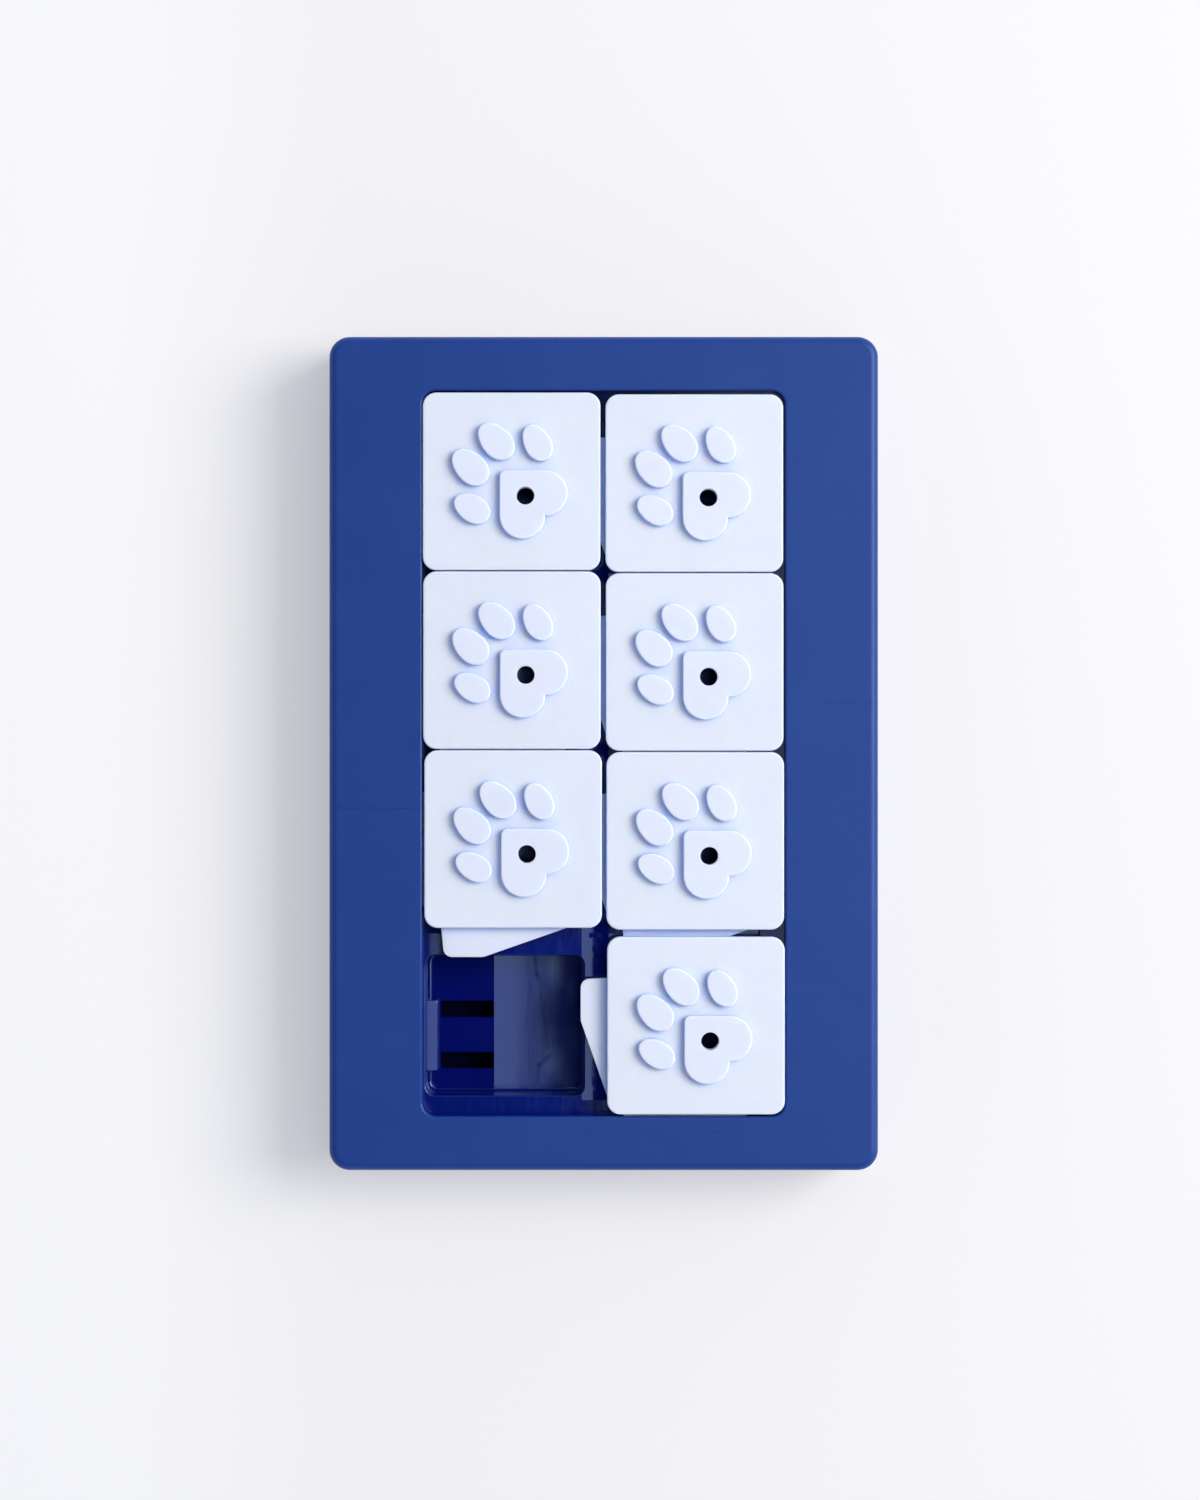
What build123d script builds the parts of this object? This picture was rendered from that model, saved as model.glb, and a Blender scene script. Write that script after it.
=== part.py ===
from build123d import *
import os
from math import cos, radians, sin, sqrt, tan

# Sliding-tile treat puzzle for a dog. Millimetres. The origin is on the table under the middle
# of the tray, X is to the right, Y runs up the board's columns, and Z is up.
# Columns are a (left) and b (right), and rows are 1 (top) to 4 (bottom). Square a4 is empty.

# ---------------------------------------------------------------- driving dimensions
# Board
tile_pitch = 60.5
columns = 2
rows = 4

# Tray frame
tray_height = 32.0               # top of the rim above the table
side_rim = 31.1                  # width of the rim beside the board
end_rim = 18.15                  # width of the rim above and below the board
frame_wall = 2.5
rim_plate = 2.8
rim_corner_radius = 6.8
rim_edge_radius = 2.7
opening_edge_radius = 0.7
skirt_edge_radius = 0.5
wall_draft = 1.0                 # degrees
skirt_lift = 1.6                 # gap between the frame's lower edge and the table
ledge_wall = 3.0                 # wall that carries the fixed tongues

# Tiles
tile_gap = 1.3                   # pitch less the side of a cap
cap_thickness = 3.4
cap_proud = 0.6                  # caps stand this far above the rim
cap_corner_radius = 4.5
cap_edge_radius = 0.5
cap_top_wall = 1.8
cap_skirt_wall = 2.0
tongue_thickness = 2.4
glide_thickness = 2.4
glide_inset = 0.2                # glide plate's edge inside the cap's
scent_hole_radius = 3.0
scent_hole_step = 0.6            # each lower plate's hole is this much wider
scent_tube_wall = 1.6

# Tongue plate
left_tongue_reach = 8.85         # beyond the cap's edge
left_tongue_tip = 13.8           # straight side of the tip
left_tongue_fall = 0.4           # the tip's upper end is this much lower than its root
left_tongue_root = 5.75          # where the slanted side meets the cap's edge, from its corner
lower_tongue_reach = 9.95
lower_tongue_start = 6.4         # the tip's left corner, from the cap's corner
lower_tongue_tip = 13.2          # straight side of the tip, before the slanted side
tongue_notch = (5.4, 0.5)        # inner corner between the two tongues
tongue_corner_radius = 3.0
plate_corner_radius = 2.0

# Paw print, from the middle of the cap
relief_height = 2.4
relief_root = 0.5                # the relief starts this far below the cap's face
pad_corner = (-3.95, 3.45)       # outer corner of the heart-shaped pad
pad_square = 15.1
pad_corner_radius = 2.0
pad_edge_radius = 0.45
toe_edge_radius = 0.45
scent_hole_place = (4.65, -4.95)
# The toes above the pad, from its outer corner. The other two are their mirror images.
inner_toe = dict(place=(-0.4, 8.95), turn=-46, narrow=8.3, broad=6.0, half_width=5.0)
outer_toe = dict(place=(12.95, 8.5), turn=-60, narrow=7.3, broad=5.7, half_width=4.5)

# Wells
well_width = 53.4
well_length = 47.2
well_offset = (-2.85, -0.65)     # middle of a well from the middle of its square
well_depth = 14.0
well_corner_radius = 3.3
well_edge_radius = 0.5
well_foot_radius = 0.9
well_draft = 1.0                 # degrees
well_wall = 2.0
well_floor_thickness = 2.4
scoop_start = 22.5               # crease of the scooped floor, from the well's left wall
scoop_slope = 6.0                # degrees, at the crease
scoop_reach = 19.0               # from the crease to the lowest line of the floor
slot_start = 4.3                 # from the well's left wall
slot_length = 18.1
slot_width = 5.6
slot_corner_radius = 0.8
slot_spacing = 17.5              # between the middle lines of the two slots
slot_offset = -4.4               # middle between the slots, from the middle of the well
boss_depth = 3.6
boss_length = 24.4
boss_height = 4.5                # at the well's wall
boss_slope = 7.0                 # degrees, its top falls towards the floor
boss_corner_radius = 0.9
boss_edge_radius = 0.5

# Base
deck_thickness = 2.8
rail_thickness = 2.4
step_wall = 2.2
channel_width = 9.1              # shallow channel between the two columns
channel_depth = 0.25
rib_thickness = 1.6
rib_depth = 9.0

# Feet and their posts
foot_radius = 8.0
foot_disc = 3.0
foot_edge_radius = 0.8
foot_stem_radius = 4.0
foot_stem_length = 4.0
post_radius = 9.6
post_wall = 2.0
post_wall_gap = 1.9              # between a post and the frame's wall

# Screws
screw_radius = 1.5
screw_head_radius = 3.1
screw_head_height = 2.0
screw_head_edge = 0.7
screw_point = 0.6
screw_cover = 1.4                # rim left above a screw's hole
screw_wall_gap = 8.0             # from the frame's wall to a screw's axis
frame_boss_radius = 4.0
recess_width = 0.9
recess_span = 3.6
recess_depth = 1.2
tile_screw_radius = 1.25
tile_screw_head_radius = 2.5
tile_screw_sink = 0.2            # heads lie this far inside the glide plate
tile_screw_inset = 8.0           # from the sides of the tongue plate
tile_screw_cover = 1.0           # plastic left above a cap's screw hole
tile_boss_radius = 3.2

# ---------------------------------------------------------------- clearances
slide_gap = 0.3                  # above and below each tongue
rail_gap = 0.2                   # between a glide plate and the rails
groove_slack_right = 2.35        # beyond a full left tongue, inside the next tile
groove_slack_top = 4.05          # beyond a full lower tongue, inside the next tile
well_flare_gap = 0.1             # from a well's rounded upper edge to the board's step
base_fit = 0.3                   # base inside the frame's walls
screw_play = 0.25                # radial, in clearance holes
thread_gap = 0.05                # radial, in threaded holes
screw_end_gap = 0.4              # beyond a screw's point
stem_gap = 0.1                   # radial, foot stem in its post

# ---------------------------------------------------------------- where the tiles rest
side_gap = dict(a1=0.2, a2=0.3, a3=0.7, b1=0.7, b2=0.6, b3=0.4, b4=0.15)  # to the side rim
top_gap = dict(a=0.7, b=1.3)     # from the upper rim to the first cap of a column
row_gap = 0.4                    # between caps pushed up against each other
lower_gap = 0.7                  # from the lower rim to the cap in row 4

# ---------------------------------------------------------------- levels, from the rim down
cap_top = tray_height + cap_proud
cap_bottom = cap_top - cap_thickness
tongue_top = cap_bottom - slide_gap
tongue_bottom = tongue_top - tongue_thickness
glide_top = tongue_bottom - slide_gap
glide_bottom = glide_top - glide_thickness
rail_top = glide_bottom - rail_gap
rail_bottom = rail_top - rail_thickness
rib_bottom = rail_bottom - rib_depth
groove_roof = tray_height - rim_plate
deck_top = glide_top
deck_bottom = deck_top - deck_thickness
well_floor = rail_top - well_depth
cup_bottom = well_floor - well_floor_thickness
stem_top = foot_disc + foot_stem_length
screw_top = tray_height - screw_cover - screw_end_gap
tile_screw_top = cap_top - tile_screw_cover - screw_end_gap

# ---------------------------------------------------------------- plan sizes
board_width = columns * tile_pitch
board_length = rows * tile_pitch
rim_width = board_width + 2 * side_rim
rim_length = board_length + 2 * end_rim
cap_side = tile_pitch - tile_gap
cap_half = cap_side / 2
plate_right = cap_side - left_tongue_reach - groove_slack_right
plate_top = cap_side - lower_tongue_reach - groove_slack_top
scoop_radius = scoop_reach / sin(radians(scoop_slope))
scoop_depth = scoop_radius * (1 - cos(radians(scoop_slope)))
channel_radius = (channel_width**2 / 4 + channel_depth**2) / (2 * channel_depth)

square_centres = [
    ((c + 0.5) * tile_pitch - board_width / 2, board_length / 2 - (r + 0.5) * tile_pitch)
    for c in range(columns)
    for r in range(rows)
]
well_centres = [(x + well_offset[0], y + well_offset[1]) for x, y in square_centres]
foot_x = rim_width / 2 - frame_wall - post_wall_gap - post_radius
foot_y = rim_length / 2 - frame_wall - post_wall_gap - post_radius
foot_places = dict(
    foot_front_left=(-foot_x, -foot_y),
    foot_front_right=(foot_x, -foot_y),
    foot_rear_left=(-foot_x, foot_y),
    foot_rear_right=(foot_x, foot_y),
)
screw_x = rim_width / 2 - frame_wall - screw_wall_gap
row_lines = sorted({y for x, y in square_centres})
screw_places = [(side * screw_x, y) for side in (-1, 1) for y in row_lines]
tile_screw_places = [
    (x - cap_half, y - cap_half)
    for x in (tile_screw_inset, plate_right - tile_screw_inset)
    for y in (tile_screw_inset, plate_top - tile_screw_inset)
]

os.makedirs("parts", exist_ok=True)


def wall_growth(height):
    """How far a drafted wall of the frame stands outside the rim's outline at a height."""
    return (tray_height - height) * tan(radians(wall_draft))


def write(shape, name):
    """Label a finished piece and write it."""
    shape.label = name
    export_step(shape, f"parts/{name}.step")


# ---------------------------------------------------------------- tray frame
# A shell open below: the rim plate with the board's opening, drafted outer walls, and the
# fixed tongues on the right and upper sides, which the tiles' grooves run over.
foot_growth = wall_growth(skirt_lift)
right_ledge = left_tongue_reach - tile_gap / 2
upper_ledge = lower_tongue_reach - tile_gap / 2
board_x = board_width / 2
board_y = board_length / 2
with BuildPart() as frame:
    with BuildSketch(Plane.XY.offset(skirt_lift)):
        RectangleRounded(
            rim_width + 2 * foot_growth,
            rim_length + 2 * foot_growth,
            rim_corner_radius + foot_growth,
        )
    extrude(amount=tray_height - skirt_lift, taper=wall_draft)
    fillet(frame.faces().sort_by(Axis.Z)[-1].edges(), rim_edge_radius)
    fillet(frame.faces().sort_by(Axis.Z)[0].edges(), skirt_edge_radius)

    # hollow
    with BuildSketch(Plane.XY.offset(skirt_lift)):
        RectangleRounded(
            rim_width + 2 * (foot_growth - frame_wall),
            rim_length + 2 * (foot_growth - frame_wall),
            rim_corner_radius + foot_growth - frame_wall,
        )
    extrude(amount=groove_roof - skirt_lift, taper=wall_draft, mode=Mode.SUBTRACT)

    # opening over the board
    with BuildSketch(Plane.XY.offset(groove_roof)):
        RectangleRounded(board_width, board_length, cap_corner_radius)
    extrude(amount=rim_plate, mode=Mode.SUBTRACT)
    fillet(frame.faces().sort_by(Axis.Z)[-1].inner_wires()[0].edges(), opening_edge_radius)

    # wall behind the fixed tongues, standing on the base's deck
    with BuildSketch(Plane.XY.offset(deck_top)):
        with BuildLine():
            Polyline(
                (board_x, -board_y),
                (board_x, board_y),
                (-board_x, board_y),
                (-board_x, board_y + ledge_wall),
                (board_x + ledge_wall, board_y + ledge_wall),
                (board_x + ledge_wall, -board_y),
                close=True,
            )
        make_face()
    extrude(amount=groove_roof - deck_top)

    # fixed tongues, reaching in as far as a tile's tongue would from the next square
    with BuildSketch(Plane.XY.offset(tongue_bottom)) as fixed_tongues:
        with BuildLine():
            Polyline(
                (board_x + ledge_wall / 2, -board_y),
                (board_x - right_ledge, -board_y),
                (board_x - right_ledge, board_y - upper_ledge),
                (-board_x, board_y - upper_ledge),
                (-board_x, board_y + ledge_wall / 2),
                (board_x + ledge_wall / 2, board_y + ledge_wall / 2),
                close=True,
            )
        make_face()
        tips = [
            fixed_tongues.vertices().group_by(Axis.Y)[0].sort_by(Axis.X)[0],
            fixed_tongues.vertices().group_by(Axis.X)[0].sort_by(Axis.Y)[0],
        ]
        fillet(tips, tongue_corner_radius)
    extrude(amount=tongue_thickness)

    # screw bosses under the rim
    with BuildSketch(Plane.XY.offset(deck_top)):
        with Locations(*screw_places):
            Circle(frame_boss_radius)
    extrude(amount=groove_roof - deck_top)
    with BuildSketch(Plane.XY.offset(deck_top)):
        with Locations(*screw_places):
            Circle(screw_radius + thread_gap)
    extrude(amount=screw_top + screw_end_gap - deck_top, mode=Mode.SUBTRACT)
write(frame.part, "tray_frame")

# ---------------------------------------------------------------- hollow of one well
# Cut from the base at each square: drafted walls, a flat floor on the left, and on the right
# a shallow scoop whose lowest line is scoop_reach from the crease.
crease_x = scoop_start - well_width / 2
scoop_x = crease_x + scoop_reach
scoop_end_x = well_width / 2 + well_wall
scoop_end_z = well_floor + scoop_radius - scoop_depth - sqrt(
    scoop_radius**2 - (scoop_end_x - scoop_x) ** 2
)
floor_base = well_floor - 2 * scoop_depth
with BuildPart() as well:
    with BuildSketch(Plane.XY.offset(rail_top)):
        RectangleRounded(well_width, well_length, well_corner_radius)
    extrude(amount=-(well_depth + scoop_depth), taper=well_draft)
    with BuildSketch(Plane.XZ):
        with BuildLine():
            Line((-scoop_end_x, well_floor), (crease_x, well_floor))
            ThreePointArc(
                (crease_x, well_floor),
                (scoop_x, well_floor - scoop_depth),
                (scoop_end_x, scoop_end_z),
            )
            Polyline(
                (scoop_end_x, scoop_end_z),
                (scoop_end_x, floor_base),
                (-scoop_end_x, floor_base),
                (-scoop_end_x, well_floor),
            )
        make_face()
    extrude(amount=well_length, both=True, mode=Mode.SUBTRACT)
    foot_edges = well.edges().filter_by(
        lambda e: e.center().Z < well_floor + scoop_depth
        and not (abs(e.center().X - crease_x) < 0.1 and abs(e.center().Y) < 0.1)
    )
    fillet(foot_edges, well_foot_radius)

    # thin flange above the rails, whose root rounds the well's upper edge
    flare = well_edge_radius + well_flare_gap
    with BuildSketch(Plane.XY.offset(rail_top)):
        RectangleRounded(well_width + 2 * flare, well_length + 2 * flare, well_corner_radius + flare)
    extrude(amount=well_flare_gap)
    flange_face = well.faces().filter_by(Axis.Z).sort_by(Axis.Z)[-2]
    fillet(flange_face.inner_wires()[0].edges(), well_edge_radius)

# ---------------------------------------------------------------- boss on a well's left wall
boss_root = -well_width / 2 - well_wall / 2
boss_front = boss_depth - well_width / 2
boss_base = well_floor - well_floor_thickness / 2
boss_top = well_floor + boss_height
boss_fall = (boss_front - boss_root) * tan(radians(boss_slope))
with BuildPart() as boss:
    with BuildSketch(Plane.XZ.offset(-slot_offset)):
        with BuildLine():
            Polyline(
                (boss_root, boss_base),
                (boss_front, boss_base),
                (boss_front, boss_top - boss_fall),
                (boss_root, boss_top),
                close=True,
            )
        make_face()
    extrude(amount=boss_length / 2, both=True)
    fillet(boss.edges().filter_by(Axis.Z).group_by(Axis.X)[-1], boss_corner_radius)
    fillet(boss.faces().sort_by(Axis.Z)[-1].edges().sort_by(Axis.X)[1:], boss_edge_radius)

# ---------------------------------------------------------------- tray base
# The board inside the frame: a deck that closes the grooves from below, rails between the
# eight wells, a drafted cup round each well, cross ribs, and posts for the feet.
deck_growth = wall_growth(deck_top)
deck_half_x = rim_width / 2 + deck_growth - frame_wall - base_fit
deck_half_y = rim_length / 2 + deck_growth - frame_wall - base_fit
row_gaps = [y + tile_pitch / 2 + well_offset[1] for y in row_lines[:-1]]
with BuildPart() as base:
    # deck and rails
    with BuildSketch(Plane.XY.offset(deck_bottom)):
        RectangleRounded(2 * deck_half_x, 2 * deck_half_y, rim_corner_radius - frame_wall)
    extrude(amount=deck_thickness)
    with BuildSketch(Plane.XY.offset(rail_bottom)):
        RectangleRounded(
            board_width + 2 * step_wall, board_length + 2 * step_wall, cap_corner_radius + step_wall
        )
    extrude(amount=deck_top - rail_bottom)
    with BuildSketch(Plane.XY.offset(rail_top)):
        RectangleRounded(board_width, board_length, cap_corner_radius)
    extrude(amount=deck_top - rail_top, mode=Mode.SUBTRACT)

    # shallow channel between the columns
    with BuildSketch(Plane.XZ):
        with Locations((well_offset[0], rail_top - channel_depth + channel_radius)):
            Circle(channel_radius)
    extrude(amount=board_y - cap_corner_radius, both=True, mode=Mode.SUBTRACT)

    # cups round the wells, and cross ribs between their rows
    with BuildSketch(Plane.XY.offset(rail_bottom)):
        with Locations(*well_centres):
            RectangleRounded(
                well_width + 2 * well_wall,
                well_length + 2 * well_wall,
                well_corner_radius + well_wall,
            )
    extrude(amount=cup_bottom - rail_bottom, taper=well_draft)
    with BuildSketch(Plane.XY.offset(rib_bottom)):
        with Locations(*[(0, y) for y in row_gaps]):
            Rectangle(2 * deck_half_x - 2 * rib_thickness, rib_thickness)
    extrude(amount=deck_bottom - rib_bottom)

    # foot posts, cored from above
    with BuildSketch(Plane.XY.offset(foot_disc)):
        with Locations(*foot_places.values()):
            Circle(post_radius)
    extrude(amount=deck_bottom - foot_disc)
    with BuildSketch(Plane.XY.offset(stem_top + post_wall)):
        with Locations(*foot_places.values()):
            Circle(post_radius - post_wall)
    extrude(amount=deck_top - stem_top - post_wall, mode=Mode.SUBTRACT)
    with BuildSketch(Plane.XY.offset(foot_disc)):
        with Locations(*foot_places.values()):
            Circle(foot_stem_radius + stem_gap)
    extrude(amount=foot_stem_length + stem_gap, mode=Mode.SUBTRACT)

    # wells, their bosses, and two slots through each floor
    with Locations(*well_centres):
        add(well.part, mode=Mode.SUBTRACT)
    with Locations(*well_centres):
        add(boss.part)
    slot_x = slot_start + slot_length / 2 - well_width / 2
    with BuildSketch(Plane.XY.offset(cup_bottom)):
        with Locations(*well_centres):
            with Locations(
                (slot_x, slot_offset - slot_spacing / 2),
                (slot_x, slot_offset + slot_spacing / 2),
            ):
                RectangleRounded(slot_length, slot_width, slot_corner_radius)
    extrude(amount=well_floor_thickness, mode=Mode.SUBTRACT)

    # clearance holes for the screws
    with BuildSketch(Plane.XY.offset(deck_bottom)):
        with Locations(*screw_places):
            Circle(screw_radius + screw_play)
    extrude(amount=deck_thickness, mode=Mode.SUBTRACT)
write(base.part, "tray_base")

# ---------------------------------------------------------------- tray screws
# Self-tapping pan-head screws with a cross recess, driven up through the deck.
head_bottom = deck_bottom - screw_head_height
with BuildPart() as one_screw:
    with BuildSketch(Plane.XY.offset(head_bottom)):
        Circle(screw_head_radius)
    extrude(amount=screw_head_height)
    fillet(one_screw.edges().sort_by(Axis.Z)[0], screw_head_edge)
    with BuildSketch(Plane.XY.offset(deck_bottom)):
        Circle(screw_radius)
    extrude(amount=screw_top - deck_bottom)
    chamfer(one_screw.edges().sort_by(Axis.Z)[-1], screw_point)
    with BuildSketch(Plane.XY.offset(head_bottom)):
        Rectangle(recess_span, recess_width)
        Rectangle(recess_width, recess_span)
    extrude(amount=recess_depth, mode=Mode.SUBTRACT)
with BuildPart() as tray_screws:
    with Locations(*screw_places):
        add(one_screw.part)
write(tray_screws.part, "tray_screws")

# ---------------------------------------------------------------- rubber feet
# A disc that stands on the table, with a stem pressed up into the base's post.
with BuildPart() as foot:
    with BuildSketch():
        Circle(foot_radius)
    extrude(amount=foot_disc)
    fillet(foot.edges().sort_by(Axis.Z)[0], foot_edge_radius)
    with BuildSketch(Plane.XY.offset(foot_disc)):
        Circle(foot_stem_radius)
    extrude(amount=foot_stem_length)
for name, place in foot_places.items():
    write(foot.part.moved(Location((*place, 0))), name)

# ---------------------------------------------------------------- tile cap
# A square moulding with a raised paw print: four egg-shaped toes round a heart-shaped pad.
# Below, it is cored to a top wall and a skirt, with a tube round the scent hole and four
# bosses that stand on the tongue plate.
def toe_outline(place, turn, narrow, broad, half_width):
    """Egg: two half ellipses of one width, the broad end towards the pad."""
    EllipticalCenterArc(place, broad, half_width, -90, arc_size=180, rotation=turn)
    EllipticalCenterArc(place, narrow, half_width, 90, arc_size=180, rotation=turn)


relief_base = cap_top - relief_root
pad_x, pad_y = pad_corner
lobe = pad_square / 2
with BuildPart() as toes:
    for toe in (inner_toe, outer_toe):
        with BuildSketch(Plane.XY.offset(relief_base)):
            with BuildLine():
                toe_outline(**toe)
            make_face()
        extrude(amount=relief_root + relief_height)
    # the paw is alike on both sides of the pad's diagonal
    mirror(about=Plane(origin=(0, 0, 0), x_dir=(1, -1, 0), z_dir=(1, 1, 0)))
    fillet(toes.faces().filter_by(Axis.Z).group_by(Axis.Z)[-1].edges(), toe_edge_radius)

with BuildPart() as pad:
    with BuildSketch(Plane.XY.offset(relief_base)) as pad_sketch:
        with BuildLine():
            Polyline((pad_square, 0), (0, 0), (0, -pad_square))
            ThreePointArc(
                (0, -pad_square), (lobe, -pad_square - lobe), (pad_square, -pad_square)
            )
            ThreePointArc((pad_square, -pad_square), (pad_square + lobe, -lobe), (pad_square, 0))
        make_face()
        fillet(pad_sketch.vertices().sort_by(Axis.X)[0:2].sort_by(Axis.Y)[-1], pad_corner_radius)
    extrude(amount=relief_root + relief_height)
    fillet(pad.faces().sort_by(Axis.Z)[-1].edges(), pad_edge_radius)

with BuildPart() as cap:
    with BuildSketch(Plane.XY.offset(cap_bottom)):
        RectangleRounded(cap_side, cap_side, cap_corner_radius)
    extrude(amount=cap_thickness)
    fillet(cap.faces().sort_by(Axis.Z)[-1].edges(), cap_edge_radius)
    with Locations((pad_x, pad_y)):
        add(toes.part)
        add(pad.part)

    # core, tube and bosses
    with BuildSketch(Plane.XY.offset(cap_bottom)):
        RectangleRounded(
            cap_side - 2 * cap_skirt_wall,
            cap_side - 2 * cap_skirt_wall,
            cap_corner_radius - cap_skirt_wall,
        )
    extrude(amount=cap_thickness - cap_top_wall, mode=Mode.SUBTRACT)
    with BuildSketch(Plane.XY.offset(tongue_top)):
        with Locations(scent_hole_place):
            Circle(scent_hole_radius + scent_tube_wall)
        with Locations(*tile_screw_places):
            Circle(tile_boss_radius)
    extrude(amount=cap_top - cap_top_wall - tongue_top)

    # scent hole and screw holes
    with BuildSketch(Plane.XY.offset(tongue_top)):
        with Locations(scent_hole_place):
            Circle(scent_hole_radius)
    extrude(amount=cap_top + relief_height - tongue_top, mode=Mode.SUBTRACT)
    with BuildSketch(Plane.XY.offset(tongue_top)):
        with Locations(*tile_screw_places):
            Circle(tile_screw_radius + thread_gap)
    extrude(amount=tile_screw_top + screw_end_gap - tongue_top, mode=Mode.SUBTRACT)

# ---------------------------------------------------------------- tile tongue plate
# One flat moulding whose left and lower tongues run in the grooves of the next tiles.
left_tongue_high = plate_top - left_tongue_fall
left_tongue_low = left_tongue_high - left_tongue_tip
lower_tongue_end = lower_tongue_start + lower_tongue_tip
with BuildPart() as tongue_plate:
    with BuildSketch(Plane(origin=(-cap_half, -cap_half, tongue_bottom))) as tongue_sketch:
        with BuildLine():
            Polyline(
                (0, plate_top),
                (-left_tongue_reach, left_tongue_high),
                (-left_tongue_reach, left_tongue_low),
                (0, left_tongue_root),
                tongue_notch,
                (lower_tongue_start, -lower_tongue_reach),
                (lower_tongue_end, -lower_tongue_reach),
                (plate_right, 0),
                (plate_right, plate_top),
                close=True,
            )
        make_face()
        outer_corners = tongue_sketch.vertices().group_by(Axis.X)[0]
        outer_corners += tongue_sketch.vertices().group_by(Axis.Y)[0]
        fillet(outer_corners, tongue_corner_radius)
        with Locations((cap_half + scent_hole_place[0], cap_half + scent_hole_place[1])):
            Circle(scent_hole_radius + scent_hole_step, mode=Mode.SUBTRACT)
        with Locations(*[(x + cap_half, y + cap_half) for x, y in tile_screw_places]):
            Circle(tile_screw_radius + screw_play, mode=Mode.SUBTRACT)
    extrude(amount=tongue_thickness)
    fillet(tongue_plate.edges().filter_by(Axis.Z).group_by(Axis.X)[-1], plate_corner_radius)

# ---------------------------------------------------------------- tile glide plate
# Closes the groove from below and slides on the rails.
glide_side = cap_side - 2 * glide_inset
sink_radius = tile_screw_head_radius + tile_screw_sink
with BuildPart() as glide_plate:
    with BuildSketch(Plane.XY.offset(glide_bottom)):
        RectangleRounded(glide_side, glide_side, cap_corner_radius - glide_inset)
    extrude(amount=glide_thickness)
    with BuildSketch(Plane.XY.offset(glide_top)):
        with Locations(*tile_screw_places):
            Circle(tile_boss_radius)
    extrude(amount=slide_gap)
    with BuildSketch(Plane.XY.offset(glide_bottom)):
        with Locations(scent_hole_place):
            Circle(scent_hole_radius + 2 * scent_hole_step)
        with Locations(*tile_screw_places):
            Circle(tile_screw_radius + screw_play)
    extrude(amount=glide_thickness + slide_gap, mode=Mode.SUBTRACT)
    with BuildSketch(Plane.XY.offset(glide_bottom)):
        with Locations(*tile_screw_places):
            Circle(sink_radius)
    extrude(amount=sink_radius - tile_screw_radius, taper=45, mode=Mode.SUBTRACT)

# ---------------------------------------------------------------- tile screws
# Countersunk, from below, through both plates into the cap's bosses.
tile_screw_bottom = glide_bottom + tile_screw_sink
tile_head_height = tile_screw_head_radius - tile_screw_radius
with BuildPart() as one_tile_screw:
    with BuildSketch(Plane.XY.offset(tile_screw_bottom)):
        Circle(tile_screw_head_radius)
    extrude(amount=tile_head_height, taper=45)
    with BuildSketch(Plane.XY.offset(tile_screw_bottom)):
        Circle(tile_screw_radius)
    extrude(amount=tile_screw_top - tile_screw_bottom)
    chamfer(one_tile_screw.edges().sort_by(Axis.Z)[-1], screw_point)
with BuildPart() as tile_screws:
    with Locations(*tile_screw_places):
        add(one_tile_screw.part)

# ---------------------------------------------------------------- the seven tiles
for square, gap in side_gap.items():
    column = square[0]
    row = int(square[1])
    tile_x = board_x - gap - cap_half
    if column == "a":
        tile_x = -tile_x
    if row == rows:
        tile_y = lower_gap + cap_half - board_y
    else:
        tile_y = board_y - top_gap[column] - cap_half - (row - 1) * (cap_side + row_gap)
    place = Location((tile_x, tile_y, 0))
    write(cap.part.moved(place), f"tile_{square}_cap")
    write(tongue_plate.part.moved(place), f"tile_{square}_tongue_plate")
    write(glide_plate.part.moved(place), f"tile_{square}_glide_plate")
    write(tile_screws.part.moved(place), f"tile_{square}_screws")
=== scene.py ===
import math

import bpy
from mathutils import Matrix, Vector


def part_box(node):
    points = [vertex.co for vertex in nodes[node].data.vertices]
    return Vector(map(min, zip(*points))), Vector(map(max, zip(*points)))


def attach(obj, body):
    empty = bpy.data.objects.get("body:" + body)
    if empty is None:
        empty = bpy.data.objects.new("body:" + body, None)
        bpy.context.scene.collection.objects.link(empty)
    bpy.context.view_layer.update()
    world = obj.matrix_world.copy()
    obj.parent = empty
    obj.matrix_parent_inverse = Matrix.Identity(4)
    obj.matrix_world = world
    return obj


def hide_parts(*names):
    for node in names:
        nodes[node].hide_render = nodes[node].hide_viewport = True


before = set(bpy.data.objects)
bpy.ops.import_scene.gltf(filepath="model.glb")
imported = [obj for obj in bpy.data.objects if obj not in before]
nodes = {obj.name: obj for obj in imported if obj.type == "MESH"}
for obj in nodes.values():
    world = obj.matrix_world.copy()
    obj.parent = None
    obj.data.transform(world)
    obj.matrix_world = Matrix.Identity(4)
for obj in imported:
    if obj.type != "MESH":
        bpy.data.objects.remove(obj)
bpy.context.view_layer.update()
scene = bpy.context.scene
scene.view_settings.view_transform = "Standard"

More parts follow.
